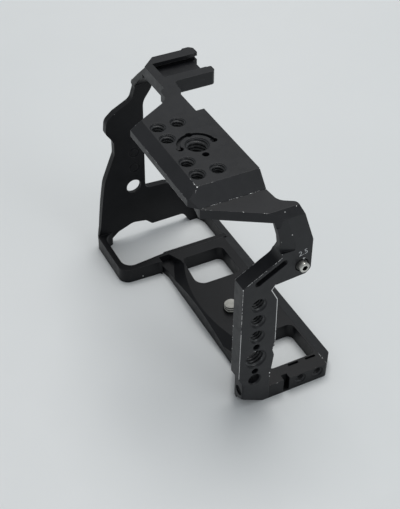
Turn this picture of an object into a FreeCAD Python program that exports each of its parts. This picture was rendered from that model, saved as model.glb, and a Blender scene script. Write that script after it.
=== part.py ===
import FreeCAD, Part
import math
import os

V = FreeCAD.Vector
os.makedirs("parts", exist_ok=True)

# ------------------------------------------------------------------ driving dimensions, mm
# x runs to the port-side column, -y is the lens side, z is up. The origin used while drawing is
# under the 3/8 hole of the top plate, on the underside of the base.
Z_TOP = 110.3          # face of the top plate
Z_LIP = 106.9          # where the sloped front lip turns vertical
Z_BLK = 103.9          # underside of the top plate
Z_WEB = 99.5           # underside of the arm web
X_PLATE = (-26.0, 25.2)
Y_PLATE = (-12.9, 14.7)
Y_LIP = -18.0
X_SHOULDER = 30.9
X_OUT = 48.4           # outer face of the column
X_IN = 41.4            # inner face of the column
X_BAND = (-83.5, -80.0)
T_BASE = 8.0
Y_BACK = 48.2
Y_FRONT = 6.9
PITCH = 9.0            # pitch of the 1/4-20 holes
R_Q = 3.175            # 1/4-20 major radius
R_T = 4.7625           # 3/8-16 major radius
R_M5 = 2.5
R_PIN = 1.5            # locating pin holes beside the 3/8-16 holes
PIN_R = 7.4            # their distance from the 3/8-16 axis
HOLE_Y = 4.1           # hole line of the column
SCREW = (-2.3, 20.0)   # captive camera screw
LOCK = (22.9, 75.0)    # lock screw (y, z)
PITCH_Q = 25.4 / 20
SHIFT = V(16.275, -15.1, 0)   # moves the centre of the footprint onto the origin


# ------------------------------------------------------------------ helpers
def pt(axis, u, v, w):
    if axis == "z":
        return V(u, v, w)
    if axis == "x":
        return V(w, u, v)
    return V(u, w, v)


def face(points, axis, w):
    """closed outline of (u, v, radius) corners on the plane w"""
    n = len(points)
    ends, edges = [], []
    for i in range(n):
        p = points[i]
        r = p[2] if len(p) > 2 else 0.0
        P = V(p[0], p[1], 0)
        A = V(points[i - 1][0], points[i - 1][1], 0)
        B = V(points[(i + 1) % n][0], points[(i + 1) % n][1], 0)
        if r <= 0:
            ends.append((P, None, P))
            continue
        a = (A - P).normalize()
        b = (B - P).normalize()
        half = a.getAngle(b) / 2
        t = r / math.tan(half)
        mid = (a + b).normalize()
        c = P + mid * (r / math.sin(half))
        ends.append((P + a * t, c - mid * r, P + b * t))
    for i in range(n):
        s, m, e = ends[i]
        if m is not None:
            edges.append(Part.Arc(pt(axis, s.x, s.y, w), pt(axis, m.x, m.y, w), pt(axis, e.x, e.y, w)).toShape())
        q = ends[(i + 1) % n][0]
        if e.distanceToPoint(q) > 1e-4:
            edges.append(Part.makeLine(pt(axis, e.x, e.y, w), pt(axis, q.x, q.y, w)))
    return Part.Face(Part.Wire(edges))


def prism(points, axis, a, b):
    d = pt(axis, 0, 0, b - a)
    return face(points, axis, a).extrude(d)


def box(x0, x1, y0, y1, z0, z1):
    return Part.makeBox(x1 - x0, y1 - y0, z1 - z0, V(x0, y0, z0))


DIRS = {"x": V(1, 0, 0), "y": V(0, 1, 0), "z": V(0, 0, 1)}


def cyl(r, h, p, axis="z", back=False):
    d = DIRS[axis] * (-1 if back else 1)
    return Part.makeCylinder(r, h, V(*p), d)


def cone(r1, r2, h, p, axis="z", back=False):
    d = DIRS[axis] * (-1 if back else 1)
    return Part.makeCone(r1, r2, h, V(*p), d)


def hole(r, p, axis, a, b, ch=0.5, ends="ab"):
    """cutter for a hole on the line through p, between a and b along the axis, chamfered at its ends"""
    q = list(p)
    k = "xyz".index(axis)
    q[k] = a - 0.5
    s = cyl(r, b - a + 1.0, q, axis)
    if ch > 0 and "a" in ends:
        q[k] = a - 0.5
        s = s.fuse(cone(r + ch + 0.5, r, ch + 0.5, q, axis))
    if ch > 0 and "b" in ends:
        q[k] = b + 0.5
        s = s.fuse(cone(r + ch + 0.5, r, ch + 0.5, q, axis, True))
    return s


def cut(s, tools):
    return s.cut(Part.makeCompound(tools) if len(tools) == 1 else tools[0].multiFuse(tools[1:]))


def fuse(items):
    return items[0].multiFuse(items[1:]).removeSplitter()


def bevel(s, d, pick):
    edges = [e for e in s.Edges if pick(e)]
    return s.makeChamfer(d, edges) if edges else s


def on_plane(e, axis, value, tol=0.01):
    b = e.BoundBox
    lo = getattr(b, axis.upper() + "Min")
    hi = getattr(b, axis.upper() + "Max")
    return abs(lo - value) < tol and abs(hi - value) < tol


def half_space(p, n, size=260.0):
    """block lying on the side of the plane through p that n points to"""
    n = V(*n).normalize()
    u = n.cross(V(0.123, 0.456, 0.789)).normalize()
    v = n.cross(u)
    c = V(*p)
    w = Part.makePolygon([c + u * size + v * size, c - u * size + v * size, c - u * size - v * size,
                          c + u * size - v * size, c + u * size + v * size])
    return Part.Face(w).extrude(n * size)


NODES = {}


def put(name, s):
    if isinstance(s, (list, tuple)):
        s = Part.makeCompound([x for y in s for x in y.Solids])
    s = s.copy()
    s.translate(SHIFT)
    NODES[name] = s


# ------------------------------------------------------------------ base plate
X_BAR = (-51.5, -45.3)      # crossbar between the grip loop and the middle opening
outline = [(X_BAR[0], 5.2), (-43.5, Y_FRONT, 3.0), (26.5, Y_FRONT, 5.0), (39.4, -0.3, 3.0),
           (X_IN, -0.6), (X_IN, 11.8), (X_OUT, 11.8), (X_OUT, 41.9, 2.0), (40.6, Y_BACK, 2.5), (X_BAR[0], Y_BACK)]
base = prism(outline, "z", 0, T_BASE)
base = base.cut(half_space((0, 42.0, T_BASE), (0, 2.8, 6.2)))
tools = [
    prism([(X_BAR[1], 15.2, 3.0), (-23.9, 13.4, 5.0), (-23.9, 37.6, 3.0), (X_BAR[1], 37.6, 3.0)], "z", -1, 20),
    prism([(19.0, 16.4, 3.0), (40.1, 16.4, 3.0), (40.1, 40.9, 3.0), (19.0, 40.9, 3.0)], "z", -1, 20),
]
# sloped cove in front of the arc: clearance under the lens mount
arc_c, arc_r, fall = (-10.6, 81.8), 74.0, 0.75
inside = cone(arc_r + T_BASE / fall, arc_r, T_BASE, (arc_c[0], arc_c[1], 0.0)).fuse(cyl(arc_r, 6.0, (arc_c[0], arc_c[1], T_BASE - 0.5)))
cove = prism([(-52.0, 10.6), (-50.5, 11.3), (-44.8, 14.1), (-42.0, 14.4), (-42.0, 22.0), (27.5, 22.0), (27.5, 0.0), (-52.0, 0.0)],
             "z", 4.2, T_BASE + 1).cut(inside)
tools.append(cove)
# undersides: camera screw counterbore, lap recesses of the joints, relief pocket
tools.append(hole(3.25, (SCREW[0], SCREW[1], 0), "z", 0, T_BASE, 0.4, "b"))
tools.append(cyl(6.6, 5.3, (SCREW[0], SCREW[1], -0.3)))
lap_side = prism([(30.9, 7.9, 1.0), (42, 7.9), (42, 15.1), (30.9, 15.1, 1.0)], "z", -1, 3.0)
lap_grip = prism([(X_BAR[0] - 1, 9.9), (X_BAR[1] - 1.2, 9.9, 1.0), (X_BAR[1] - 1.2, 40.1, 1.0), (X_BAR[0] - 1, 40.1)],
                 "z", -1, 3.0)
tools += [lap_side, lap_grip]
SIDE_SCREWS = [(34.0, 11.5), (38.6, 11.5)]
GRIP_SCREWS = [(-48.9, 14.0), (-48.9, 25.0), (-48.9, 36.0)]
for x, y in SIDE_SCREWS + GRIP_SCREWS:
    tools.append(cyl(1.5, 5.6, (x, y, 1.0)))
    tools.append(cone(2.95, 1.5, 1.45, (x, y, 0)))
SIDE_DOWELS = [(36.3, 13.6), (36.3, 9.4)]
GRIP_DOWELS = [(-48.9, 19.5), (-48.9, 30.5)]
for x, y in SIDE_DOWELS:
    tools.append(cyl(0.8, 5.0, (x, y, 1.0)))
for x, y in GRIP_DOWELS:
    tools.append(cyl(1.0, 5.0, (x, y, 1.0)))
# end rail: two M5 holes, their slots to the opening, and a groove
for y in (28.3, 28.3 + PITCH):
    tools.append(hole(R_M5, (0, y, 4.7), "x", 42.3, X_OUT, 0.35, "b"))
    tools.append(box(40.9, 42.1, y - 2.6, y + 2.6, 4.0, 9))
tools.append(box(45.3, 49, 19.5, 22.5, 0.8, 9.0))
base = cut(base, tools)
put("base_plate", base)

# ------------------------------------------------------------------ side frame: column, upper arm, web
col = [(-1.6, 0.0, 2.5), (-1.6, 15.0), (-3.8, 19.2), (-3.8, 72.1), (13.3, 82.0, 4.0), (12.0, 91.9), (9.3, 101.4),
       (8.6, 104.0), (21.4, 104.0), (27.2, 87.0, 3.0), (27.4, 71.6, 2.6), (25.0, 69.6, 1.5), (11.2, 68.6, 0.8),
       (9.7, 66.4), (12.7, 60.4, 1.0), (13.2, 34.0), (12.1, 31.0), (13.1, 27.5), (11.8, 16.0), (11.8, 0.0)]
side = prism(col, "x", X_IN, X_OUT)
# foot: the outer front corner is taken off underneath
side = side.cut(half_space((X_OUT, 8.7, 0.2), (35.2, -39.8, -76.0)).common(box(30, 60, -10, 11.7, -1, 17)))
side = bevel(side, 0.8, lambda e: on_plane(e, "x", X_OUT) and on_plane(e, "y", -1.6))
# the upper arm is thinner than the column
side = side.cut(box(X_IN - 1, X_OUT - 3.9, -5, 40, 88.0, 110)).cut(
    prism([(X_IN - 1, 83.0), (X_IN, 83.0), (X_OUT - 3.9, 88.1), (X_IN - 1, 88.1)], "y", -5, 40))
web = prism([(31.2, -14.6), (48.4, 13.2), (48.4, 21.4), (43.0, 21.4, 2.2), (39.2, 15.2, 5.0), (31.2, 14.6),
             (30.0, 12.0), (7.0, 12.0, 2.0), (7.0, -10.5, 2.0), (29.6, -14.6)], "z", Z_WEB, 104.0)
web = web.cut(box(0, 31.0, -30, 30, Z_BLK, 110))
side = fuse([side, web])
side = side.cut(half_space((31.2, -14.6, 0), (27.8, -17.2, 0)).common(box(31.2, 60, -20, 13.4, 97, 106)))
# soft fold of the upper arm and the rounded top corner
side = side.cut(half_space((X_OUT, 12.8, 105.5), (1.0, -0.22, -0.0758)).common(box(40, 60, -5, 19, 84.0, 106)))
side = side.cut(half_space((X_OUT, 17.9, 90.7), (1.0, -0.219, 0.16)).common(half_space((X_OUT, 12.8, 105.5), (1.0, -0.22, -0.0758))).common(
    box(40, 60, -5, 19, 78.0, 106)))
side = side.cut(half_space((X_OUT - 3.4, 0, 104.0), (2.6, 0, 3.4)).common(box(40, 60, -20, 30, 97, 110)))
tools = []
for z in (60.1, 60.1 - PITCH, 60.1 - 2 * PITCH):
    tools.append(hole(R_Q, (0, HOLE_Y, z), "x", X_IN, X_OUT))
tools.append(hole(R_T, (0, HOLE_Y, 28.6), "x", X_IN, X_OUT))
for dz in (PIN_R, -PIN_R):
    tools.append(hole(R_PIN, (0, HOLE_Y, 28.6 + dz), "x", X_OUT - 3.5, X_OUT, 0.25, "b"))
tools[-1] = hole(R_PIN, (0, HOLE_Y, 28.6 - PIN_R), "x", X_OUT - 3.5, X_OUT, 0.25, "b")
tools.append(hole(R_M5 + 0.2, (0, HOLE_Y, 16.0), "x", X_IN, X_OUT, 0.6, "b"))
tools.append(cyl(R_M5, 6.5, (45.0, -2.0, 8.7), "y"))
# strap slot
ang = math.atan2(79.4 - 71.6, 15.6 - 2.0)
s0, s1 = V(3.0, 72.4, 0), V(14.6, 79.0, 0)
dv = (s1 - s0).normalize()
nv = V(-dv.y, dv.x, 0) * 1.45
tools.append(prism([(s0.x - nv.x, s0.y - nv.y), (s1.x - nv.x, s1.y - nv.y), (s1.x + nv.x, s1.y + nv.y),
                    (s0.x + nv.x, s0.y + nv.y)], "x", X_IN - 1, X_OUT + 1))
for s in (s0, s1):
    tools.append(cyl(1.45, X_OUT - X_IN + 2, (X_IN - 1, s.x, s.y), "x"))
# lock screw hole with its counterbore, open to the lower corner
tools.append(cyl(1.28, 12, (X_IN - 2, LOCK[0], LOCK[1]), "x"))
tools.append(cyl(3.1, 4, (X_OUT - 1.9, LOCK[0], LOCK[1]), "x"))
side = cut(side, tools)
# flange under the base and screw holes
flange = prism([(31.0, 8.0, 1.0), (X_IN, 8.0), (X_IN, 15.0), (31.0, 15.0, 1.0)], "z", 0, 3.0)
side = fuse([side, flange.fuse(box(X_IN - 0.1, X_IN + 2, 8.0, 11.8, 0, 3.0)).cut(box(X_IN, 60, 11.8, 20, -1, 4))])
cuts = []
for x, y in SIDE_SCREWS:
    cuts += [cyl(1.6, 4, (x, y, -0.5)), cone(2.9, 1.5, 1.4, (x, y, 0))]
for x, y in SIDE_DOWELS:
    cuts.append(cyl(0.8, 5, (x, y, -0.5)))
TOP_SCREWS = [(13.5, -4.0), (12.0, 8.0), (25.0, -8.0), (25.0, 8.0)]
TOP_DOWELS = [(12.0, 1.0), (25.0, 0.0)]
for x, y in TOP_SCREWS:
    cuts += [cyl(1.6, 8, (x, y, Z_WEB - 1)), cone(3.0, 1.5, 1.5, (x, y, Z_WEB))]
for x, y in TOP_DOWELS:
    cuts.append(cyl(1.0, 8, (x, y, Z_WEB + 1.0)))
side = cut(side, cuts)
put("side_frame", side)

# ------------------------------------------------------------------ top plate with neck and cold shoe
top = box(X_PLATE[0], X_SHOULDER, Y_LIP, Y_PLATE[1], Z_BLK, Z_TOP)
n_lip = (0, -(Z_TOP - Z_LIP), (Y_PLATE[0] - Y_LIP))
top = top.cut(half_space((0, Y_PLATE[0], Z_TOP), n_lip))
n_end = ((Z_TOP - 104.0), 0, (X_SHOULDER - X_PLATE[1]))
top = top.cut(half_space((X_PLATE[1], 0, Z_TOP), n_end))
top = top.cut(half_space((X_SHOULDER - 3.6, Y_LIP, 0), (3.3, -3.6, 0)).common(box(20, 40, -30, 0, 90, 120)))
top = top.cut(box(X_PLATE[0] - 1, X_PLATE[0] + 3.5, 10.9, 20, 90, 120))
top = top.fuse(cyl(6.9, 2.0, (0, 0, Z_BLK - 1.6)))
neck = prism([(X_PLATE[0] + 2, -12.9), (X_PLATE[0], -12.9), (-34.1, 0.7, 3.0), (-37.2, 3.6, 2.0), (-43.2, 3.9, 2.0),
              (-44.8, 6.5), (-65.0, 6.5), (-71.2, 13.0), (-71.2, 16.0), (-47.9, 16.0), (-47.9, 14.2), (-46.5, 12.9, 1.0), (-39.6, 12.3, 3.0),
              (-37.2, 10.9, 2.0), (X_PLATE[0] + 2, 10.9)], "z", 105.6, Z_TOP)
SHOE_X = (-71.2, -47.9)
Y_SHOE = (12.9, 33.6)
Z_SHOE = 103.6             # underside of the shoe
Z_FLOOR = 106.5            # floor of the channel
Z_LIPS = 108.6             # underside of the two lips
ch_x = (-68.7, -50.0)      # channel, 18.7 wide
op_x = (-65.7, -52.9)      # opening between the lips
shoe = prism([(SHOE_X[0], 13.0), (SHOE_X[1], 14.2), (SHOE_X[1], 32.4, 1.2), (-49.2, Y_SHOE[1], 1.0), (op_x[1] + 0.3, Y_SHOE[1], 0.6),
              (op_x[1] + 0.3, 31.4), (op_x[0] - 0.3, 31.4), (op_x[0] - 0.3, Y_SHOE[1], 0.6), (-70.6, Y_SHOE[1], 1.0),
              (-72.2, 31.8, 1.0), (-72.2, 28.8, 0.8), (SHOE_X[0], 27.6, 0.8)], "z", Z_SHOE, Z_TOP)
top = fuse([top, neck, shoe, prism([(-44.9, 6.5), (-65.0, 6.5), (-71.2, 13.0), (-71.2, 18.0), (-47.9, 18.0), (-47.9, 14.2)], "z", Z_SHOE, Z_TOP - 1)])
top = top.cut(box(ch_x[0], ch_x[1], 10.5, 40, Z_FLOOR, Z_LIPS)).cut(box(op_x[0], op_x[1], 10.5, 40, Z_FLOOR, 120))
top = top.cut(prism([(5.0, 100.0), (5.0, 105.2), (8.2, 103.6), (8.2, 100.0)], "x", -75, -43.5))
tools = []
for x in (-18.0, 18.0):
    tools.append(hole(R_Q, (x, 0, 0), "z", Z_BLK, Z_TOP, 0.3, "b"))
for x in (-18.0, -9.0, 9.0, 18.0):
    tools.append(hole(R_Q, (x, -9.0, 0), "z", Z_BLK, Z_TOP, 0.3, "b"))
tools.append(hole(R_T, (0, 0, 0), "z", Z_BLK - 1.6, Z_TOP, 0.4, "b"))
# locating groove, half a ring on the -x side, with four pin holes
ring = cyl(8.45, 2.0, (0, 0, Z_TOP - 1.4)).cut(cyl(6.8, 4, (0, 0, Z_TOP - 2))).cut(box(0.9, 20, -20, 20, 100, 120))
tools.append(ring)
for a in (0, 90, 180, 270):
    tools.append(cyl(R_PIN, 3.2, (7.6 * math.cos(math.radians(a)), 7.6 * math.sin(math.radians(a)), Z_TOP - 3.0)))
TOP_GRIP_SCREWS = [(-62.4, 10.4), (-62.4, 14.6)]
for x, y in TOP_SCREWS:
    tools.append(cyl(1.5, 5.5, (x, y, Z_BLK - 1.0)))
for x, y in TOP_DOWELS:
    tools.append(cyl(1.0, 4.0, (x, y, Z_BLK - 1.0)))
for x, y in TOP_GRIP_SCREWS:
    tools.append(cyl(1.0, 2.9, (x, y, Z_SHOE - 1.0)))
top = cut(top, tools)
put("top_plate", top)

# ------------------------------------------------------------------ grip frame: loop, wall and band
XB0, XB1 = X_BAND
wall = [(-16.0, 0.0), (-16.0, 6.0, 3.0), (-14.2, 12.6, 10.0), (-12.3, 28.3, 20.0), (-10.5, 40.4, 20.0), (-4.4, 55.8, 5.0), (-4.4, 63.0, 5.0),
        (-8.4, 69.0, 3.0), (-7.8, 75.6, 5.0), (-3.4, 79.4, 5.0), (5.8, 84.2, 5.0), (7.6, 90.0), (7.6, 93.5),
        (17.0, 93.5), (16.6, 89.3, 6.0), (11.6, 82.0, 8.0), (11.5, 30.4, 2.5), (26.0, 29.6, 6.0), (30.4, 18.0, 8.0), (38.0, 11.0, 6.0),
        (Y_BACK, T_BASE), (Y_BACK, 0.0), (37.0, 0.0), (33.0, 6.3, 3.0), (14.8, 6.1, 1.5), (11.2, 9.4, 1.5), (4.0, 10.6, 6.0), (-4.6, 7.2, 6.0), (-12.4, 0.0)]
band = prism(wall, "x", XB0, XB1)
# loop rails, 8 mm tall
loop_out = [(XB0, -16.0, 4.0), (-49.0, -16.0, 5.0), (-48.4, 1.5, 6.0), (X_BAR[0] + 0.0, 5.2), (X_BAR[0], 7.0), (X_BAR[0] - 3.0, 9.0),
            (X_BAR[0] - 3.0, Y_BACK), (X_BAR[0], Y_BACK), (X_BAR[0], Y_BACK), (XB0, Y_BACK, 8.0)]
front = prism([(XB0, -16.0, 4.0), (-49.0, -16.0, 5.0), (-48.3, 0.5), (-48.3, 4.4, 1.5), (-46.0, 6.2), (X_BAR[0] + 0.0, 5.2),
               (X_BAR[0], 7.0, 0.5), (X_BAR[0] - 0.01, 10.0), (-53.6, 10.0, 1.0), (-51.2, -13.2, 5.5), (-77.5, -13.2, 5.0), (XB1 + 0.0, -8.0), (XB0, -8.0)],
              "z", 0, T_BASE)
front = front.cut(box(X_BAR[0], -40, 5.2, 12, -1, 10))
rear = prism([(XB1 - 1.0, 40.9), (-75.0, 43.4, 3.0), (X_BAR[0], 43.4), (X_BAR[0], Y_BACK), (-76.5, Y_BACK), (XB0, Y_BACK - 0.0), (XB0, 40.9)], "z", 0, T_BASE)
rear = rear.cut(half_space((0, 42.0, T_BASE), (0, 2.8, 6.2)))
corner = box(XB0 - 1, XB0 + 6, Y_BACK - 6, Y_BACK + 1, -1, 40).cut(cyl(6, 60, (XB0 + 6, Y_BACK - 6, -5)))
corner_f = box(XB0 - 1, XB0 + 4, -17, -12, -1, 40).cut(cyl(4, 60, (XB0 + 4, -12, -5)))
left_bar = prism([(X_BAR[0] - 2.6, 9.0), (X_BAR[0], 9.0), (X_BAR[0], 44.0), (X_BAR[0] - 2.6, 44.0)], "z", 0, T_BASE)
tongue = prism([(X_BAR[0] - 0.5, 10.0), (X_BAR[1] - 1.3, 10.0, 1.0), (X_BAR[1] - 1.3, 40.0, 1.0), (X_BAR[0] - 0.5, 40.0)], "z", 0, 3.0)
# bend from the band up to the cold shoe
bend = prism([(XB0, 91.5), (XB0, 93.4), (-65.0, Z_TOP), (-60.0, Z_TOP), (-60.0, 101.6), (-69.6, 101.6), (-72.5, 99.8), (XB1, 91.9), (XB1, 91.5)],
             "y", 7.3, 17.0)
bend = bend.cut(half_space((-65.0, 6.5, Z_TOP), (-109.9, -104.8, 111.5)))
bend = bend.cut(box(-69.6, -50, 5, 9.6, 100, Z_SHOE))
bend = bend.cut(NODES["top_plate"].translated(SHIFT * -1))
bend = bend.cut(prism([(-71.2, 13.0), (-65.0, 6.5), (-50.0, 6.5), (-50.0, 20.0), (-71.2, 20.0)], "z", Z_SHOE, 120))
bend = max(bend.Solids, key=lambda q: q.Volume)
grip = fuse([band, front, rear, left_bar, tongue, bend])
grip = grip.cut(corner).cut(corner_f)
tools = []
for z in (54.2, 54.2 - PITCH):          # blind from outside, with a shallow dimple inside
    tools += [cyl(R_Q, 3.1, (XB0 - 0.5, 5.9, z), "x"), cone(R_Q + 0.9, R_Q, 0.9, (XB0 - 0.5, 5.9, z), "x"),
              cyl(2.9, 2.0, (XB1 - 0.35, 5.9, z), "x").cut(cyl(1.9, 3.0, (XB1 - 0.6, 5.9, z), "x"))]
tools += [cyl(R_T, 3.2, (XB0 - 0.5, 5.2, 33.6), "x"), cone(R_T + 0.9, R_T, 0.9, (XB0 - 0.5, 5.2, 33.6), "x"),
          cyl(3.9, 6.0, (XB0 - 1.0, 5.2, 33.6), "x")]
for dz in (5.2, -5.2):
    tools.append(cyl(R_PIN - 0.3, 3.1, (XB0 - 0.5, 0.0, 33.6 + dz), "x"))
for x, y in GRIP_SCREWS:
    tools += [cyl(1.6, 4, (x, y, -0.5)), cone(2.9, 1.5, 1.4, (x, y, 0))]
for x, y in GRIP_DOWELS:
    tools.append(cyl(1.0, 4, (x, y, -0.5)))
for x, y in TOP_GRIP_SCREWS:
    tools += [cyl(1.1, 4, (x, y, 101.0)), cone(2.0, 1.0, 1.0, (x, y, 101.6))]
grip = cut(grip, tools)
put("grip_frame", grip)

# ------------------------------------------------------------------ fasteners and pins
def csk(x, y, z, r_head, r, length, socket=0.9):
    s = fuse([cone(r_head, r - 0.02, r_head - r, (x, y, z + 0.05)), cyl(r, length, (x, y, z + 0.05))])
    hexa = [(x + socket * 1.1547 * math.cos(math.radians(60 * i)), y + socket * 1.1547 * math.sin(math.radians(60 * i))) for i in range(6)]
    return s.cut(prism(hexa, "z", z - 1, z + 1.3))


put("base_side_screws", [csk(x, y, 0, 2.75, 1.45, 6.2) for x, y in SIDE_SCREWS])
put("base_grip_screws", [csk(x, y, 0, 2.75, 1.45, 6.2) for x, y in GRIP_SCREWS])
put("top_arm_screws", [csk(x, y, Z_WEB, 2.75, 1.45, 8.2) for x, y in TOP_SCREWS])
put("top_grip_screws", [csk(x, y, 101.6, 1.9, 0.95, 3.6, 0.6) for x, y in TOP_GRIP_SCREWS])
put("base_side_dowels", [cyl(0.78, 5.4, (x, y, 0.4)) for x, y in SIDE_DOWELS])
put("base_grip_dowels", [cyl(0.98, 5.4, (x, y, 0.4)) for x, y in GRIP_DOWELS])
put("top_arm_dowels", [cyl(0.98, 6.0, (x, y, Z_WEB + 1.1)) for x, y in TOP_DOWELS])

# ------------------------------------------------------------------ camera screw and its washer
sx, sy = SCREW
thread = fuse([cyl(R_Q, 4.4, (sx, sy, T_BASE + 0.3)).common(Part.makeSphere(5.6, V(sx, sy, T_BASE + 4.6 - 5.6)).fuse(
    cyl(10, 2.6, (sx, sy, T_BASE - 1.0)))), cyl(2.3, 4.6, (sx, sy, 4.2))])
head = cyl(5.9, 2.2, (sx, sy, 2.3))
head = bevel(head, 0.35, lambda e: e.Length > 30)
screw = fuse([thread, head])
screw = screw.cut(box(sx - 7, sx + 7, sy - 0.6, sy + 0.6, 0, 3.4))
hexa = [(sx + 2.0 * 1.1547 * math.cos(math.radians(60 * i)), sy + 2.0 * 1.1547 * math.sin(math.radians(60 * i))) for i in range(6)]
screw = screw.cut(prism(hexa, "z", 0, 4.6))
put("camera_screw", screw)
put("camera_screw_washer", cyl(5.6, 0.4, (sx, sy, 4.52)).cut(cyl(2.36, 2, (sx, sy, 4.0))))

# ------------------------------------------------------------------ lock screw and its washer
ly, lz = LOCK
hx = X_OUT + 0.05
head = cyl(2.25, 2.5, (hx, ly, lz), "x")
head = bevel(head, 0.3, lambda e: e.Length > 10 and on_plane(e, "x", hx + 2.5))
body = cyl(1.22, 12.4, (hx - 12.4, ly, lz), "x")
body = bevel(body, 0.4, lambda e: on_plane(e, "x", hx - 12.4))
lock = fuse([head, body])
hexa = [(ly + 1.12 * 1.1547 * math.cos(math.radians(60 * i)), lz + 1.12 * 1.1547 * math.sin(math.radians(60 * i))) for i in range(6)]
lock = lock.cut(prism(hexa, "x", hx + 0.8, hx + 4))
put("lock_screw", lock)
put("lock_screw_washer", cyl(2.6, 0.4, (hx - 0.42, ly, lz), "x").cut(cyl(1.28, 2, (hx - 1.4, ly, lz), "x")))

# ------------------------------------------------------------------ silicone pads inside the cage
put("top_pads", [box(-24.0, 4.5, 11.2, 14.2, Z_BLK - 1.2, Z_BLK), box(-24.0, 4.5, -17.0, -14.0, Z_BLK - 1.2, Z_BLK)])
put("side_pad", prism([(-2.6, 46.0, 0.9), (-2.6, 66.0, 0.9), (-0.2, 66.0, 0.9), (-0.2, 46.0, 0.9)], "x", X_IN - 1.2, X_IN))

for name, s in sorted(NODES.items()):
    bad = [i for i, q in enumerate(s.Solids) if not q.isValid()]
    b = s.BoundBox
    print(name, "solids", len(s.Solids), "valid", not bad, "vol %.0f" % s.Volume,
          "x %.1f..%.1f y %.1f..%.1f z %.1f..%.1f" % (b.XMin, b.XMax, b.YMin, b.YMax, b.ZMin, b.ZMax))
    s.exportStep(os.path.join("parts", name + ".step"))
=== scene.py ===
import math

import bpy
import bmesh
from mathutils import Matrix, Vector


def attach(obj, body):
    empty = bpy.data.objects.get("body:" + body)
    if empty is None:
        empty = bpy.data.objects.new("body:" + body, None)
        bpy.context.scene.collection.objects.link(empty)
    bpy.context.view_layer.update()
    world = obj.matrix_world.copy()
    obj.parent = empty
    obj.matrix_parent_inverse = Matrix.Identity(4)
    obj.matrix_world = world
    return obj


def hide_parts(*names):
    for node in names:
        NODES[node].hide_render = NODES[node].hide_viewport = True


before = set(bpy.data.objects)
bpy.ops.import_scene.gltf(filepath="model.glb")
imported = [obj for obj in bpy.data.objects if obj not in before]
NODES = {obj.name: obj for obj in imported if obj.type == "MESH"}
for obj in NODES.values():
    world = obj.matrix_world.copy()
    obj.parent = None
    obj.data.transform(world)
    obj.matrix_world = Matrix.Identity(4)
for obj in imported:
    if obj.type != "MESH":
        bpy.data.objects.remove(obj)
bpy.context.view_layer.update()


SHIFT = Vector((16.275, -15.1, 0.0))
MM = 0.001


def P(x, y, z):
    """a point of the drawing, in mm, as a point of the frame, in metres"""
    return (Vector((x, y, z)) + SHIFT) * MM


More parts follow.
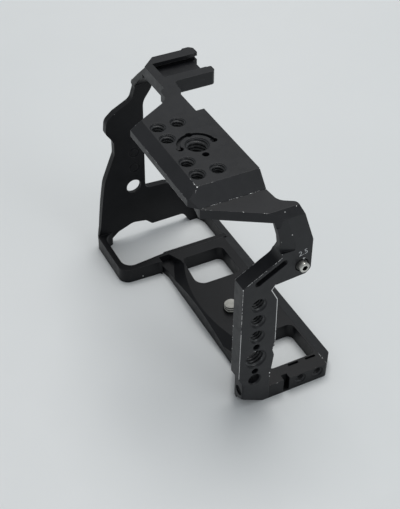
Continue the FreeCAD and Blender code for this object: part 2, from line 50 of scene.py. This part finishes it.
# ------------------------------------------------------------------ node helpers
class Tree:
    def __init__(self, name):
        self.m = bpy.data.materials.new(name)
        self.m.use_nodes = True
        self.t = self.m.node_tree
        self.t.nodes.clear()
        self.out = self.t.nodes.new("ShaderNodeOutputMaterial")
        self.b = self.t.nodes.new("ShaderNodeBsdfPrincipled")
        self.link(self.b.outputs[0], self.out.inputs[0])
        self.pos = self.t.nodes.new("ShaderNodeTexCoord").outputs["Object"]
        self.geo = self.t.nodes.new("ShaderNodeNewGeometry")

    def link(self, a, b):
        self.t.links.new(a, b)

    def put(self, value, socket):
        if isinstance(value, (int, float)):
            socket.default_value = value
        elif isinstance(value, (tuple, list, Vector)):
            v = list(value)
            if len(v) == 3 and socket.type == "RGBA":
                v.append(1.0)
            socket.default_value = v
        else:
            self.link(value, socket)

    def math(self, op, a, b=0.0, c=None, clamp=False):
        n = self.t.nodes.new("ShaderNodeMath")
        n.operation = op
        n.use_clamp = clamp
        self.put(a, n.inputs[0])
        self.put(b, n.inputs[1])
        if c is not None:
            self.put(c, n.inputs[2])
        return n.outputs[0]

    def vec(self, op, a, b=None, scale=None):
        n = self.t.nodes.new("ShaderNodeVectorMath")
        n.operation = op
        self.put(a, n.inputs[0])
        if b is not None:
            self.put(b, n.inputs[1])
        if scale is not None:
            self.put(scale, n.inputs["Scale"])
        return n.outputs["Value"] if op in ("DOT_PRODUCT", "LENGTH", "DISTANCE") else n.outputs["Vector"]

    def noise(self, scale, detail=3.0, rough=0.5, where=None, offset=None):
        n = self.t.nodes.new("ShaderNodeTexNoise")
        n.inputs["Scale"].default_value = scale
        n.inputs["Detail"].default_value = detail
        n.inputs["Roughness"].default_value = rough
        w = where or self.pos
        if offset is not None:
            w = self.vec("ADD", w, offset)
        self.link(w, n.inputs["Vector"])
        return n.outputs["Fac"]

    def range(self, v, a, b, c, d, smooth=True):
        n = self.t.nodes.new("ShaderNodeMapRange")
        n.interpolation_type = "SMOOTHSTEP" if smooth else "LINEAR"
        n.clamp = True
        self.put(v, n.inputs[0])
        for i, x in enumerate((a, b, c, d)):
            self.put(x, n.inputs[1 + i])
        return n.outputs[0]

    def mix(self, f, a, b):
        n = self.t.nodes.new("ShaderNodeMix")
        n.data_type = "RGBA"
        self.put(f, n.inputs[0])
        self.put(a, n.inputs[6])
        self.put(b, n.inputs[7])
        return n.outputs[2]

    def bump(self, height, dist, strength=1.0, normal=None):
        n = self.t.nodes.new("ShaderNodeBump")
        n.inputs["Strength"].default_value = strength
        n.inputs["Distance"].default_value = dist
        self.link(height, n.inputs["Height"])
        if normal is not None:
            self.link(normal, n.inputs["Normal"])
        return n.outputs[0]

    def bevel(self, radius, samples=6):
        n = self.t.nodes.new("ShaderNodeBevel")
        n.samples = samples
        n.inputs["Radius"].default_value = radius
        return n.outputs[0]

    def near(self, a, b, r0, r1):
        """1 on the segment a-b (points of the drawing), falling to 0 between the distances r0 and r1, in mm"""
        A, B = P(*a), P(*b)
        d = self.vec("SUBTRACT", self.pos, A)
        AB = B - A
        if AB.length > 1e-7:
            t = self.math("MULTIPLY", self.vec("DOT_PRODUCT", d, AB), 1.0 / AB.length_squared, clamp=True)
            d = self.vec("SUBTRACT", d, self.vec("SCALE", AB, scale=t))
        return self.range(self.vec("LENGTH", d), r0 * MM, r1 * MM, 1.0, 0.0)

    def most(self, items):
        v = items[0]
        for w in items[1:]:
            v = self.math("MAXIMUM", v, w)
        return v

    def set(self, name, value):
        self.put(value, self.b.inputs[name])


# ------------------------------------------------------------------ materials
# worn edges: (from, to, half width, how much of the line is bare, 0 to 1)
WORN = {
    "side_frame": [
        ((48.4, -3.8, 71.9), (48.4, -3.8, 47.0), 0.12, 0.6),
        ((48.4, -3.8, 47.0), (48.4, -3.8, 20.0), 0.14, 0.86),
        ((48.4, -3.8, 72.1), (48.4, 13.3, 82.0), 0.12, 0.42),
        ((41.4, -3.8, 72.1), (41.4, 12.0, 81.4), 0.15, 0.5),
        ((41.4, -3.8, 70.0), (41.4, -3.8, 22.0), 0.10, 0.2),
        ((48.4, 11.2, 68.6), (48.4, 9.7, 66.4), 0.30, 1.0),
        ((48.4, 9.7, 66.4), (48.4, 12.7, 60.4), 0.32, 1.0),
        ((48.4, 12.7, 60.4), (48.4, 13.2, 36.0), 0.28, 0.92),
        ((48.4, 13.2, 36.0), (48.4, 12.1, 31.0), 0.13, 0.45),
        ((31.2, -14.5, 104.0), (48.2, 13.0, 104.0), 0.08, 0.22),
        ((48.4, 13.1, 84.0), (44.8, 13.0, 100.0), 0.14, 0.5),
        ((48.4, 13.0, 18.5), (48.4, 12.0, 14.0), 0.16, 0.55),
        ((31.0, -14.6, 104.0), (31.0, 14.5, 104.0), 0.06, 0.2),
    ],
    "top_plate": [
        ((30.9, -14.6, 104.05), (30.9, 14.6, 104.05), 0.06, 0.3),
        ((25.2, -12.9, 110.3), (25.2, -6.0, 110.3), 0.08, 0.3),
        ((19.5, -12.9, 110.3), (25.2, -12.9, 110.3), 0.08, 0.3),
        ((25.2, -12.9, 110.3), (29.4, -16.6, 106.0), 0.08, 0.3),
        ((-26.0, -12.9, 110.3), (-26.0, -18.0, 106.9), 0.08, 0.3),
        ((-26.0, -18.0, 106.9), (26.0, -18.0, 106.9), 0.07, 0.25),
        ((-26.0, -18.0, 103.9), (26.0, -18.0, 103.9), 0.08, 0.3),
    ],
    "base_plate": [
        ((-51.0, 6.0, 8.0), (-46.5, 6.4, 8.0), 0.3, 0.4),
        ((48.4, 12.0, 8.0), (48.4, 41.0, 8.0), 0.07, 0.15),
        ((48.4, 42.0, 8.0), (41.0, 42.0, 8.0), 0.10, 0.35),
    ],
    "grip_frame": [
        ((-83.5, -16.0, 6.0), (-83.5, -10.5, 40.4), 0.09, 0.2),
        ((-83.5, -10.5, 40.4), (-83.5, -4.4, 58.0), 0.09, 0.2),
    ],
}
# small chips: (place, radius)
CHIPS = {
    "side_frame": [
        ((46.0, 14.4, 103.2), 0.24), ((45.3, 19.9, 103.8), 0.2), ((48.3, 17.1, 92.6), 0.28), ((48.3, 16.9, 89.9), 0.2),
        ((48.4, 11.6, 16.7), 0.42), ((48.4, 11.8, 14.5), 0.40), ((41.6, -3.8, 46.2), 0.50), ((41.5, -3.8, 39.5), 0.32),
        ((41.5, -3.8, 38.0), 0.24), ((41.5, -3.8, 32.7), 0.28), ((48.3, -3.8, 71.6), 0.36), ((41.4, 4.2, 76.8), 0.30),
    ],
    "top_plate": [((23.4, -13.0, 110.2), 0.26), ((25.3, -12.8, 110.2), 0.32), ((25.4, 14.6, 110.2), 0.26)],
    "base_plate": [((-49.2, 5.4, 7.9), 0.3), ((44.5, 42.0, 8.0), 0.30), ((47.9, 42.4, 7.6), 0.30)],
    "grip_frame": [((-48.4, -5.1, 1.8), 0.36), ((-80.2, -3.3, 79.0), 0.3)],
}


def anodised(name, node=None, shine=0.34, depth=1.0):
    """black anodised, blasted aluminium, with the bare metal showing where it is worn; a depth below 1 darkens the
    whole colour as painted shade
    """
    k = Tree(name)
    grain = k.noise(5200.0, 2.0, 0.6)
    cloud = k.noise(70.0, 5.0, 0.6)
    smear = k.noise(320.0, 4.0, 0.65, offset=(0.3, 0.1, 0.7))
    # depth scales every colour down: painted shade for parts that sit in shadow
    tone = k.mix(k.range(cloud, 0.3, 0.7, 0.0, 1.0), [v * depth for v in (0.0066, 0.0070, 0.0086)],
                 [v * depth for v in (0.0100, 0.0106, 0.0128)])
    tone = k.mix(k.range(grain, 0.35, 0.75, 0.0, 0.45), tone, [v * depth for v in (0.0160, 0.0170, 0.0195)])
    round_n = k.bevel(0.00030, 8)
    sharp = k.math("SUBTRACT", 1.0, k.vec("DOT_PRODUCT", round_n, k.geo.outputs["Normal"]))
    edge = k.range(sharp, 0.015, 0.16, 0.0, 1.0)
    broken = k.noise(620.0, 4.0, 0.7, offset=(1.3, 0.2, 0.5))
    rub = k.math("MULTIPLY", edge, k.range(broken, 0.36, 0.66, 0.12, 0.85))
    tone = k.mix(k.math("MULTIPLY", rub, 0.30), tone, (0.12, 0.124, 0.13))
    masks = []
    fine = k.noise(2600.0, 3.0, 0.7, offset=(0.9, 0.4, 0.1))
    for a, b, w, much in WORN.get(node, []):
        line = k.near(a, b, w * 0.45, w * 1.35)
        gaps = k.range(broken, 0.62 - 0.34 * much, 0.74 - 0.34 * much, 0.0, 1.0) if much < 0.99 else k.range(fine, 0.2, 0.4, 0.5, 1.0)
        masks.append(k.math("MULTIPLY", line, gaps))
    for c, r in CHIPS.get(node, []):
        spot = k.near(c, c, 0.0, r * 1.5)
        masks.append(k.range(k.math("ADD", spot, k.math("MULTIPLY", fine, 0.55)), 0.66, 0.80, 0.0, 1.0))
    # specks of dust
    v = k.t.nodes.new("ShaderNodeTexVoronoi")
    v.inputs["Scale"].default_value = 190.0
    k.link(k.pos, v.inputs["Vector"])
    few = k.t.nodes.new("ShaderNodeSeparateColor")
    k.link(v.outputs["Color"], few.inputs[0])
    dust = k.math("MULTIPLY", k.range(v.outputs["Distance"], 0.010, 0.024, 1.0, 0.0), k.range(few.outputs[0], 0.72, 0.76, 0.0, 1.0))
    bare = k.most(masks) if masks else None
    rough = k.range(smear, 0.3, 0.72, 0.36, 0.47)
    rough = k.math("ADD", rough, k.range(cloud, 0.35, 0.75, -0.02, 0.04))
    if bare is not None:
        tone = k.mix(bare, tone, (0.86, 0.86, 0.86))
        k.set("Metallic", k.math("MULTIPLY", bare, 0.75))
        rough = k.math("SUBTRACT", rough, k.math("MULTIPLY", bare, 0.08))
    tone = k.mix(k.math("MULTIPLY", dust, 0.5), tone, (0.45, 0.45, 0.44))
    k.set("Base Color", tone)
    k.set("Roughness", rough)
    k.set("IOR", 1.52)
    k.set("Specular IOR Level", shine)
    n = k.bump(grain, 0.000018, 0.55, round_n)
    if bare is not None:
        n = k.bump(k.math("SUBTRACT", 1.0, bare), 0.00003, 0.6, n)
    k.set("Normal", n)
    return k.m


def thread_metal(name):
    """the cut thread, a little glossier than the blasted faces"""
    k = Tree(name)
    grain = k.noise(2600.0, 3.0, 0.6)
    worn = k.noise(420.0, 4.0, 0.7, offset=(0.1, 0.8, 0.3))
    round_n = k.bevel(0.00008, 6)
    tone = k.mix(k.range(worn, 0.5, 0.75, 0.0, 1.0), (0.020, 0.021, 0.023), (0.070, 0.072, 0.076))
    k.set("Base Color", tone)
    k.set("Roughness", k.range(grain, 0.3, 0.7, 0.24, 0.38))
    k.set("Metallic", 0.15)
    k.set("IOR", 1.55)
    k.set("Normal", k.bump(grain, 0.000010, 0.4, round_n))
    return k.m


def steel(name, low, high, r0, r1, metallic=1.0, axis=None, centre=None, bands=2600.0, radius=0.00012, socket=None, root=None):
    k = Tree(name)
    cloud = k.noise(380.0, 4.0, 0.6)
    fine = k.noise(5200.0, 2.0, 0.6, offset=(0.2, 0.7, 0.9))
    round_n = k.bevel(radius, 6)
    tone = k.mix(k.range(cloud, 0.3, 0.7, 0.0, 1.0), low, high)
    height = fine
    if axis is not None:
        # the marks of the lathe: rings about the axis
        d = k.vec("SUBTRACT", k.pos, P(*centre))
        keep = [0.0 if i == axis else 1.0 for i in range(3)]
        rad = k.vec("LENGTH", k.vec("MULTIPLY", d, keep))
        ring = k.math("SINE", k.math("MULTIPLY", rad, bands * 2 * math.pi))
        height = k.math("ADD", k.math("MULTIPLY", ring, 0.5), fine)
        tone = k.mix(k.range(ring, -1.0, 1.0, 0.0, 0.18), tone, low)
    if socket is not None:
        # painted shade: the hex socket is darkened in its colour, standing in for the shadow inside it
        hole_r, face = socket
        part = k.t.nodes.new("ShaderNodeSeparateXYZ")
        k.link(k.pos, part.inputs[0])
        socket_painted_shade = k.math("MULTIPLY", k.range(rad, (hole_r - 0.04) * MM, (hole_r + 0.04) * MM, 1.0, 0.0),
                        k.range(part.outputs[axis], face - 0.00012, face - 0.00004, 1.0, 0.0))
        tone = k.mix(socket_painted_shade, tone, (0.010, 0.010, 0.010))
    if root is not None:
        # painted shade: the thread's roots are darkened in their colour, standing in for the shadow in the grooves
        centre_xy, r0, r1, top = root
        part = k.t.nodes.new("ShaderNodeSeparateXYZ")
        k.link(k.pos, part.inputs[0])
        rr = k.vec("LENGTH", k.vec("MULTIPLY", k.vec("SUBTRACT", k.pos, P(*centre_xy)), (1.0, 1.0, 0.0)))
        root_painted_shade = k.math("MULTIPLY", k.range(rr, r0 * MM, r1 * MM, 1.0, 0.0), k.range(part.outputs[2], (top - 0.3) * MM, top * MM, 1.0, 0.0))
        tone = k.mix(k.math("MULTIPLY", root_painted_shade, 0.92), tone, (0.03, 0.03, 0.03))
    k.set("Base Color", tone)
    k.set("Metallic", metallic)
    k.set("Roughness", k.range(k.noise(900.0, 3.0, 0.6, offset=(0.5, 0.5, 0.2)), 0.3, 0.7, r0, r1))
    k.set("Normal", k.bump(height, 0.000003, 0.5, round_n))
    return k.m


def soft(name, low, high, rough, scale, dist, sheen=0.0):
    k = Tree(name)
    a = k.noise(scale, 4.0, 0.6)
    b = k.noise(scale * 0.08, 4.0, 0.6, offset=(0.2, 0.1, 0.4))
    k.set("Base Color", k.mix(k.range(b, 0.3, 0.7, 0.0, 1.0), low, high))
    k.set("Roughness", k.range(a, 0.3, 0.7, rough - 0.07, rough + 0.07))
    k.set("Normal", k.bump(a, dist, 0.6, k.bevel(0.00025, 6)))
    if sheen:
        k.b.inputs["Sheen Weight"].default_value = sheen
    return k.m


def dress(obj, mat):
    obj.data.materials.clear()
    obj.data.materials.append(mat)


# the base and grip frames take darker copies of the same anodising (depth 0.7 and 0.6) as painted shade, and less
# shine
for n, shine, depth in (("side_frame", 0.31, 1.0), ("top_plate", 0.31, 1.0), ("base_plate", 0.22, 0.7), ("grip_frame", 0.20, 0.6)):
    dress(NODES[n], anodised("anodised_" + n, n, shine, depth))
THREAD = thread_metal("thread_cut")
BLACK_STEEL = steel("black_oxide_steel", (0.020, 0.020, 0.022), (0.045, 0.045, 0.048), 0.30, 0.42, 0.7)
for n in ("base_side_screws", "base_grip_screws", "top_arm_screws", "top_grip_screws"):
    dress(NODES[n], BLACK_STEEL)
GROUND = steel("ground_steel", (0.42, 0.42, 0.43), (0.58, 0.58, 0.59), 0.22, 0.34)
for n in ("base_side_dowels", "base_grip_dowels", "top_arm_dowels"):
    dress(NODES[n], GROUND)
# root= paints shade into the camera screw's thread roots
CAM_STEEL = steel("camera_screw_steel", (0.62, 0.62, 0.59), (0.74, 0.73, 0.70), 0.42, 0.50, 1.0, radius=0.00005,
                  root=((-2.3, 20.0, 0.0), 2.75, 3.08, 11.2))
# its last argument paints shade into the hex socket
LOCK_STEEL = steel("lock_screw_steel", (0.50, 0.50, 0.47), (0.68, 0.67, 0.63), 0.28, 0.36, 1.0, 0, (0.0, 22.9, 75.0), 5200.0, 0.00006,
                   (1.32, P(50.95, 0, 0).x))
PTFE = soft("washer_plastic", (0.012, 0.012, 0.013), (0.022, 0.022, 0.023), 0.45, 2400.0, 0.00001)
dress(NODES["camera_screw_washer"], PTFE)
dress(NODES["lock_screw_washer"], PTFE)
SILICONE = soft("pad_silicone", (0.012, 0.012, 0.012), (0.024, 0.024, 0.025), 0.72, 3200.0, 0.00002, 0.1)
dress(NODES["top_pads"], SILICONE)
dress(NODES["side_pad"], SILICONE)


# ------------------------------------------------------------------ threads
def ridge(p):
    """height of a 60 degree thread form over its pitch, 0 at the root and 1 at the crest"""
    t = abs(2.0 * (p % 1.0) - 1.0)
    return min(1.0, max(0.0, ((1.0 - t) - 0.10) / 0.70))


def screw_wall(bm, origin, axis, length, r_root, r_crest, pitch, r_back, n=56, per=10, lead=0.6):
    """closed sleeve whose one wall carries the thread; r_back is its plain wall"""
    axis = Vector(axis).normalized()
    u = axis.orthogonal().normalized()
    w = axis.cross(u)
    rows = max(4, int(round(length / pitch * per)))
    grid, back = [], []
    for j in range(rows + 1):
        z = length * j / rows
        fade = min(1.0, z / (lead * pitch), (length - z) / (lead * pitch)) if lead else 1.0
        ring = []
        for i in range(n):
            a = 2 * math.pi * i / n
            r = r_root + (r_crest - r_root) * ridge(z / pitch - i / n) * max(0.0, fade)
            q = Vector(origin) + axis * z + (u * math.cos(a) + w * math.sin(a)) * r
            ring.append(bm.verts.new(P(*q)))
        grid.append(ring)
    for z in (0.0, length):
        ring = []
        for i in range(n):
            a = 2 * math.pi * i / n
            q = Vector(origin) + axis * z + (u * math.cos(a) + w * math.sin(a)) * r_back
            ring.append(bm.verts.new(P(*q)))
        back.append(ring)
    for j in range(rows):
        for i in range(n):
            k = (i + 1) % n
            bm.faces.new((grid[j][i], grid[j][k], grid[j + 1][k], grid[j + 1][i]))
    for i in range(n):
        k = (i + 1) % n
        bm.faces.new((back[0][i], back[1][i], back[1][k], back[0][k]))
        bm.faces.new((grid[0][i], back[0][i], back[0][k], grid[0][k]))
        bm.faces.new((grid[-1][i], grid[-1][k], back[1][k], back[1][i]))


def new_object(name, bm, smooth=True):
    bmesh.ops.recalc_face_normals(bm, faces=bm.faces)
    me = bpy.data.meshes.new(name)
    bm.to_mesh(me)
    bm.free()
    if smooth:
        for p in me.polygons:
            p.use_smooth = True
    ob = bpy.data.objects.new(name, me)
    bpy.context.scene.collection.objects.link(ob)
    return ob


Q = (3.175, 1.27, 0.78)       # 1/4-20: radius, pitch, depth
T = (4.7625, 1.5875, 0.97)    # 3/8-16
M5 = (2.5, 0.8, 0.49)
INSERTS = {
    "top_threads": [((x, 0.0, 103.95), (0, 0, 1), 6.05, Q) for x in (-18.0, 18.0)]
    + [((x, -9.0, 103.95), (0, 0, 1), 6.05, Q) for x in (-18.0, -9.0, 9.0, 18.0)]
    + [((0.0, 0.0, 102.35), (0, 0, 1), 7.5, T)],
    "column_threads": [((41.9, 4.1, z), (1, 0, 0), 6.0, Q) for z in (60.1, 51.1, 42.1)]
    + [((41.9, 4.1, 28.6), (1, 0, 0), 6.0, T), ((45.0, -0.7, 8.7), (0, 1, 0), 5.0, M5)],
    "base_threads": [((42.35, y, 4.7), (1, 0, 0), 5.65, M5) for y in (28.3, 37.3)],
    "grip_threads": [((-83.1, 5.9, z), (1, 0, 0), 2.15, Q) for z in (54.2, 45.2)] + [((-83.1, 5.2, 33.6), (1, 0, 0), 2.25, T)],
}
for name, rows in INSERTS.items():
    bm = bmesh.new()
    for origin, axis, length, (r, pitch, depth) in rows:
        screw_wall(bm, origin, axis, length, r - 0.02, r - depth, pitch, r + 0.03)
    ob = new_object(name, bm)
    dress(ob, THREAD)
    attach(ob, "frame")


def threaded_screw(node, origin, axis, length, r, pitch, depth, mat, body, name):
    """the screw's solid with its thread cut in"""
    src = NODES[node]
    me = src.data.copy()
    ob = bpy.data.objects.new(name, me)
    bpy.context.scene.collection.objects.link(ob)
    w = ob.modifiers.new("weld", "WELD")
    w.merge_threshold = 1e-6
    bm = bmesh.new()
    screw_wall(bm, origin, axis, length, r - depth, r + 0.05, pitch, r + 1.2, 64, 12, 0.0)
    cutter = new_object(name + "_cutter", bm)
    m = ob.modifiers.new("cut", "BOOLEAN")
    m.operation = "DIFFERENCE"
    m.solver = "EXACT"
    m.object = cutter
    bpy.context.view_layer.update()
    done = bpy.data.meshes.new_from_object(ob.evaluated_get(bpy.context.evaluated_depsgraph_get()))
    ob.modifiers.clear()
    ob.data = done
    bpy.data.objects.remove(cutter)
    dress(ob, mat)
    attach(ob, body)
    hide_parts(node)
    return ob


threaded_screw("camera_screw", (-2.3, 20.0, 7.4), (0, 0, 1), 6.0, 3.175, 1.27, 0.72, CAM_STEEL, "camera_screw", "camera_screw_threaded")
threaded_screw("lock_screw", (35.0, 22.9, 75.0), (1, 0, 0), 12.6, 1.22, 0.45, 0.25, LOCK_STEEL, "lock_screw", "lock_screw_threaded")

# ------------------------------------------------------------------ size mark beside the lock screw: a plain number and a pointer
INK = soft("engraved_mark", (0.42, 0.43, 0.44), (0.58, 0.59, 0.60), 0.6, 2600.0, 0.000006)


def plate_mesh(name, outlines, origin, right, up, thick):
    bm = bmesh.new()
    r, u = Vector(right).normalized(), Vector(up).normalized()
    n = r.cross(u)
    for pts in outlines:
        lo = [bm.verts.new(P(*(Vector(origin) + r * a + u * b - n * 0.02))) for a, b in pts]
        hi = [bm.verts.new(P(*(Vector(origin) + r * a + u * b + n * thick))) for a, b in pts]
        bm.faces.new(hi)
        bm.faces.new(list(reversed(lo)))
        for i in range(len(pts)):
            k = (i + 1) % len(pts)
            bm.faces.new((lo[i], lo[k], hi[k], hi[i]))
    return new_object(name, bm, False)


def number(name, text, size, origin, right, up, thick):
    c = bpy.data.curves.new(name, "FONT")
    c.body = text
    c.size = size * MM
    c.extrude = thick * MM
    c.align_x = "CENTER"
    c.align_y = "CENTER"
    c.resolution_u = 3
    t = bpy.data.objects.new(name + "_text", c)
    bpy.context.scene.collection.objects.link(t)
    bpy.context.view_layer.update()
    me = bpy.data.meshes.new_from_object(t.evaluated_get(bpy.context.evaluated_depsgraph_get()))
    bpy.data.objects.remove(t)
    r, u = Vector(right).normalized(), Vector(up).normalized()
    n = r.cross(u)
    m = Matrix((r, u, n)).transposed().to_4x4()
    m.translation = P(*origin)
    me.transform(m)
    ob = bpy.data.objects.new(name, me)
    bpy.context.scene.collection.objects.link(ob)
    return ob


mark = number("size_number", "2.5", 3.6, (48.4, 23.1, 81.3), (0, 1, 0.2), (0, -0.2, 1), 0.012)
tri = plate_mesh("size_pointer", [[(-0.65, 0.5), (0.0, -0.6), (0.65, 0.5)]], (48.4, 23.6, 78.0), (0, 1, 0), (0, 0, 1), 0.012)
for ob in (mark, tri):
    dress(ob, INK)
    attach(ob, "frame")

# ------------------------------------------------------------------ floor, light, camera
bm = bmesh.new()
bmesh.ops.create_grid(bm, x_segments=2, y_segments=2, size=6.0)
floor = new_object("floor", bm)
k = Tree("pale_floor")
k.set("Base Color", k.mix(k.range(k.noise(3.0, 3.0), 0.3, 0.7, 0.0, 1.0), (0.72, 0.745, 0.755), (0.75, 0.77, 0.78)))
k.set("Roughness", k.range(k.noise(60.0, 3.0), 0.3, 0.7, 0.55, 0.65))
dress(floor, k.m)

world = bpy.data.worlds.new("soft_room")
world.use_nodes = True
bg = world.node_tree.nodes["Background"]
bg.inputs[0].default_value = (0.93, 0.97, 1.0, 1.0)
bg.inputs[1].default_value = 0.40
bpy.context.scene.world = world
bpy.context.scene.view_settings.view_transform = "Standard"


def area(name, loc, target, size, power, colour=(1, 1, 1)):
    d = bpy.data.lights.new(name, "AREA")
    d.shape = "DISK"
    d.size = size
    d.energy = power
    d.color = colour
    o = bpy.data.objects.new(name, d)
    o.location = loc
    o.rotation_euler = (Vector(target) - Vector(loc)).to_track_quat("-Z", "Y").to_euler()
    bpy.context.scene.collection.objects.link(o)
    return o


area("ceiling", (-0.35, 0.25, 1.5), (0, 0, 0), 1.1, 12.5, (1.0, 0.99, 0.97))
area("side", (1.3, 0.5, 0.75), (0, 0, 0.05), 0.8, 3.0, (0.95, 0.98, 1.0))

cam = bpy.data.cameras.new("camera")
cam.lens = 71.36
cam.sensor_width = 36.0
cam.sensor_fit = "AUTO"
cam.clip_start = 0.01
cam.clip_end = 50.0
az, el, roll = math.radians(62.58), math.radians(40.81), math.radians(0.67)
back = Vector((math.sin(az) * math.cos(el), -math.cos(az) * math.cos(el), math.sin(el)))
right = Vector((math.cos(az), math.sin(az), 0.0))
up = right.cross(-back)
right2 = right * math.cos(roll) + up * math.sin(roll)
up2 = -right * math.sin(roll) + up * math.cos(roll)
co = bpy.data.objects.new("camera", cam)
m = Matrix((right2, up2, back)).transposed().to_4x4()
m.translation = P(299.604, -153.539, 342.439)
co.matrix_world = m
bpy.context.scene.collection.objects.link(co)
bpy.context.scene.camera = co
